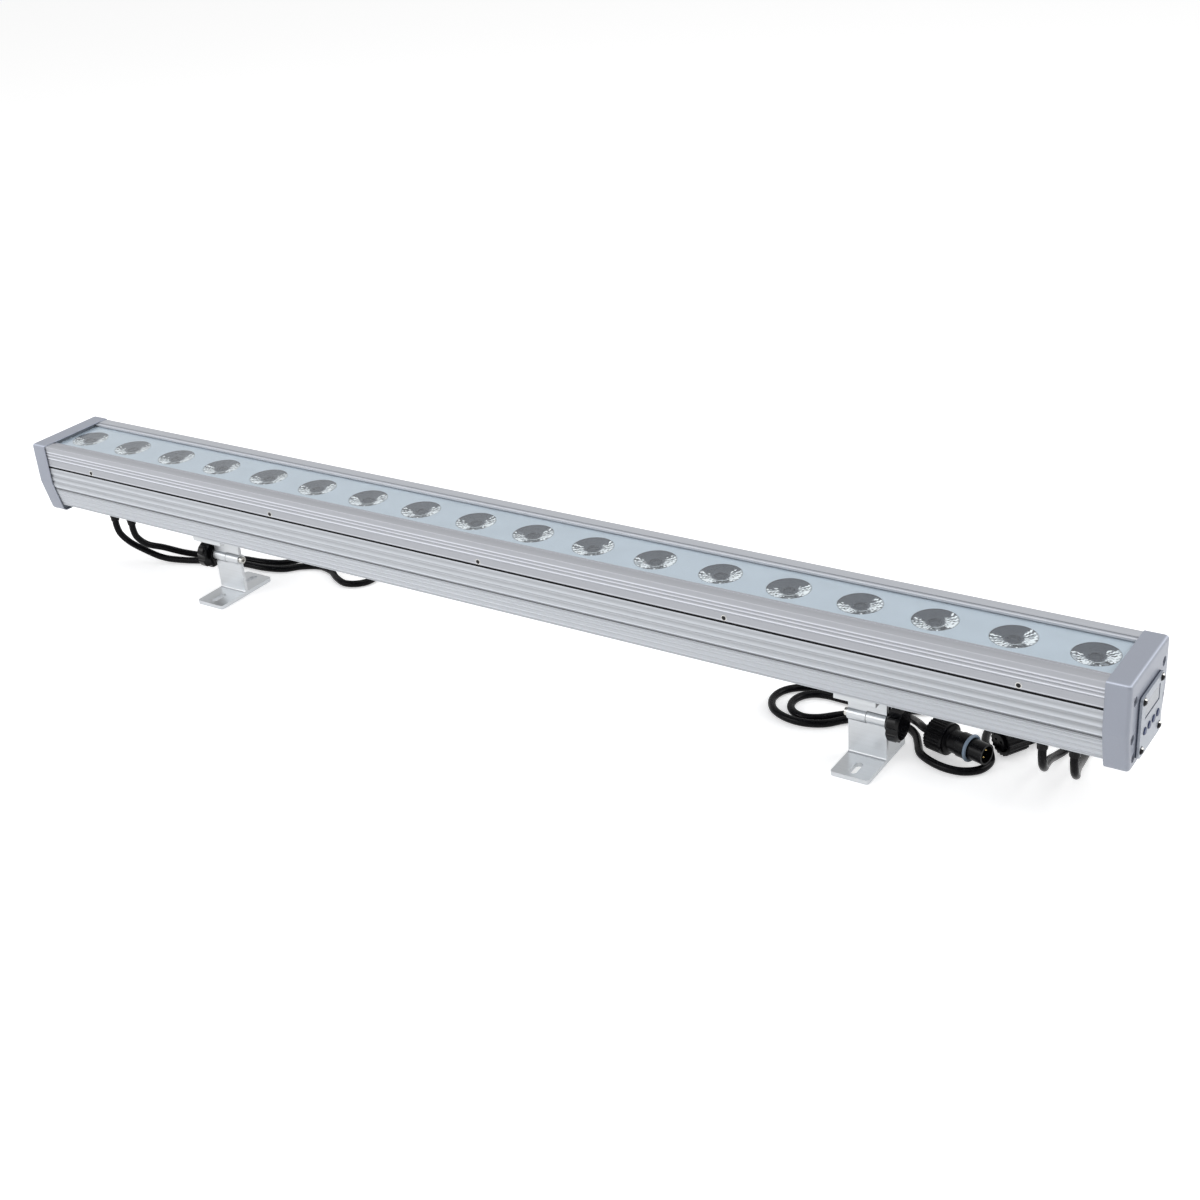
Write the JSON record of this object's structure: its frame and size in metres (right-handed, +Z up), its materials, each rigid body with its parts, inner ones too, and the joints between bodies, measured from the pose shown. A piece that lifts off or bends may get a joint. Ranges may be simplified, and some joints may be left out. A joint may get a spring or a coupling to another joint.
{
  "type": "wall washer light bar",
  "caption": "Straight outdoor light bar with a row of collimated lights under glass, hinged sliding feet and waterproof leads that link bar to bar.",
  "frame": {"origin": "floor under the middle of the bar, on the plane that the two feet stand on, in line with the hinge axis", "axes": "+X along the bar towards the end with the control plate, +Y to the back, where the leads lie, +Z up, the way the light shines"},
  "size_m": [1.0041, 0.1704, 0.127],
  "materials": {
    "bar_metal": "satin, fine lengthwise brushing",
    "cap_metal": "fine silver-grey paint",
    "bracket_metal": "satin",
    "steel": "brushed",
    "dark_steel": "dark coating",
    "black_rubber": "matte",
    "grey_rubber": "matte",
    "seal_rubber": "matte",
    "glass": "clear",
    "lens_clear": "clear, moulded",
    "dark_plastic": "moulded",
    "black_plastic": "moulded",
    "knob_plastic": "gloss",
    "key_plastic": "moulded",
    "window_plastic": "tinted",
    "lens_plate": "pale paint",
    "white_board": "coated board",
    "green_board": "coated board",
    "emitter": "moulded",
    "gold": "plated"
  },
  "bodies": {
    "bar": {"housing": "bar_metal", "front_rail": "bar_metal", "rear_rail": "bar_metal", "front_seam_strip": "black_rubber", "rear_seam_strip": "black_rubber", "glass_panel": "glass", "glass_gasket": "black_rubber", "lens_plate": "lens_plate", "lenses": "lens_clear", "lens_holders": "dark_plastic", "led_emitters": "emitter", "led_board": "white_board", "driver": "bar_metal", "control_board": "green_board", "left_end_cap": "cap_metal", "right_end_cap": "cap_metal", "left_end_gasket": "grey_rubber", "right_end_gasket": "grey_rubber", "left_cap_screws": "dark_steel", "right_cap_screws": "dark_steel", "front_rail_screws": "steel", "rear_rail_screws": "steel", "control_plate": "bracket_metal", "control_gasket": "black_rubber", "control_screws": "steel", "display_window": "window_plastic", "display_module": "green_board", "power_in_gland": "black_plastic", "signal_out_gland": "black_plastic", "power_out_gland": "black_plastic", "signal_in_gland": "black_plastic", "power_in_lead": "black_rubber", "signal_out_lead": "black_rubber", "power_out_lead": "black_rubber", "signal_in_lead": "black_rubber", "power_in_plug": "black_plastic", "power_in_seal": "seal_rubber", "power_in_pins": "gold", "signal_in_plug": "black_plastic", "signal_in_seal": "seal_rubber", "signal_in_pins": "gold", "power_out_socket": "black_plastic", "signal_out_socket": "black_plastic"},
    "left_bracket": {"left_slide_plate": "bracket_metal", "left_hinge_bolt": "steel", "left_plate_screw": "steel"},
    "right_bracket": {"right_slide_plate": "bracket_metal", "right_hinge_bolt": "steel", "right_plate_screw": "steel"},
    "left_foot": {"left_foot": "bracket_metal"},
    "right_foot": {"right_foot": "bracket_metal"},
    "left_knob": {"left_knob": "knob_plastic"},
    "right_knob": {"right_knob": "knob_plastic"},
    "key_1": {"key_1": "key_plastic"},
    "key_2": {"key_2": "key_plastic"},
    "key_3": {"key_3": "key_plastic"},
    "key_4": {"key_4": "key_plastic"},
    "power_out_nut": {"power_out_nut": "black_plastic"},
    "signal_out_nut": {"signal_out_nut": "black_plastic"}
  },
  "joints": [
    {"name": "left_bracket_slide", "type": "slide", "parent": "bar", "child": "left_bracket", "axis": [1, 0, 0], "range_m": [-0.012, 0.1]},
    {"name": "left_foot_tilt", "type": "hinge", "parent": "left_bracket", "child": "left_foot", "pos_m": [-0.3125, 0, 0.035], "axis": [1, 0, 0], "range_deg": [-85, 85]},
    {"name": "left_knob_turn", "type": "hinge", "parent": "left_bracket", "child": "left_knob", "pos_m": [-0.3125, 0, 0.035], "axis": [1, 0, 0], "continuous": true},
    {"name": "right_bracket_slide", "type": "slide", "parent": "bar", "child": "right_bracket", "axis": [1, 0, 0], "range_m": [-0.012, 0]},
    {"name": "right_foot_tilt", "type": "hinge", "parent": "right_bracket", "child": "right_foot", "pos_m": [0.3065, 0, 0.035], "axis": [1, 0, 0], "range_deg": [-85, 85]},
    {"name": "right_knob_turn", "type": "hinge", "parent": "right_bracket", "child": "right_knob", "pos_m": [0.3065, 0, 0.035], "axis": [1, 0, 0], "continuous": true},
    {"name": "key_1_press", "type": "slide", "parent": "bar", "child": "key_1", "axis": [-1, 0, 0], "range_m": [0, 0.0005], "stiffness_N_per_m": 2000, "springref_m": -0.0004},
    {"name": "key_2_press", "type": "slide", "parent": "bar", "child": "key_2", "axis": [-1, 0, 0], "range_m": [0, 0.0005], "stiffness_N_per_m": 2000, "springref_m": -0.0004},
    {"name": "key_3_press", "type": "slide", "parent": "bar", "child": "key_3", "axis": [-1, 0, 0], "range_m": [0, 0.0005], "stiffness_N_per_m": 2000, "springref_m": -0.0004},
    {"name": "key_4_press", "type": "slide", "parent": "bar", "child": "key_4", "axis": [-1, 0, 0], "range_m": [0, 0.0005], "stiffness_N_per_m": 2000, "springref_m": -0.0004},
    {"name": "power_out_nut_turn", "type": "hinge", "parent": "bar", "child": "power_out_nut", "pos_m": [-0.26, 0.09, 0.0109], "axis": [1, 0, 0], "continuous": true},
    {"name": "signal_out_nut_turn", "type": "hinge", "parent": "bar", "child": "signal_out_nut", "pos_m": [0.3915, 0.05315, 0.0109], "axis": [0.5, 0.866, 0], "continuous": true}
  ]
}
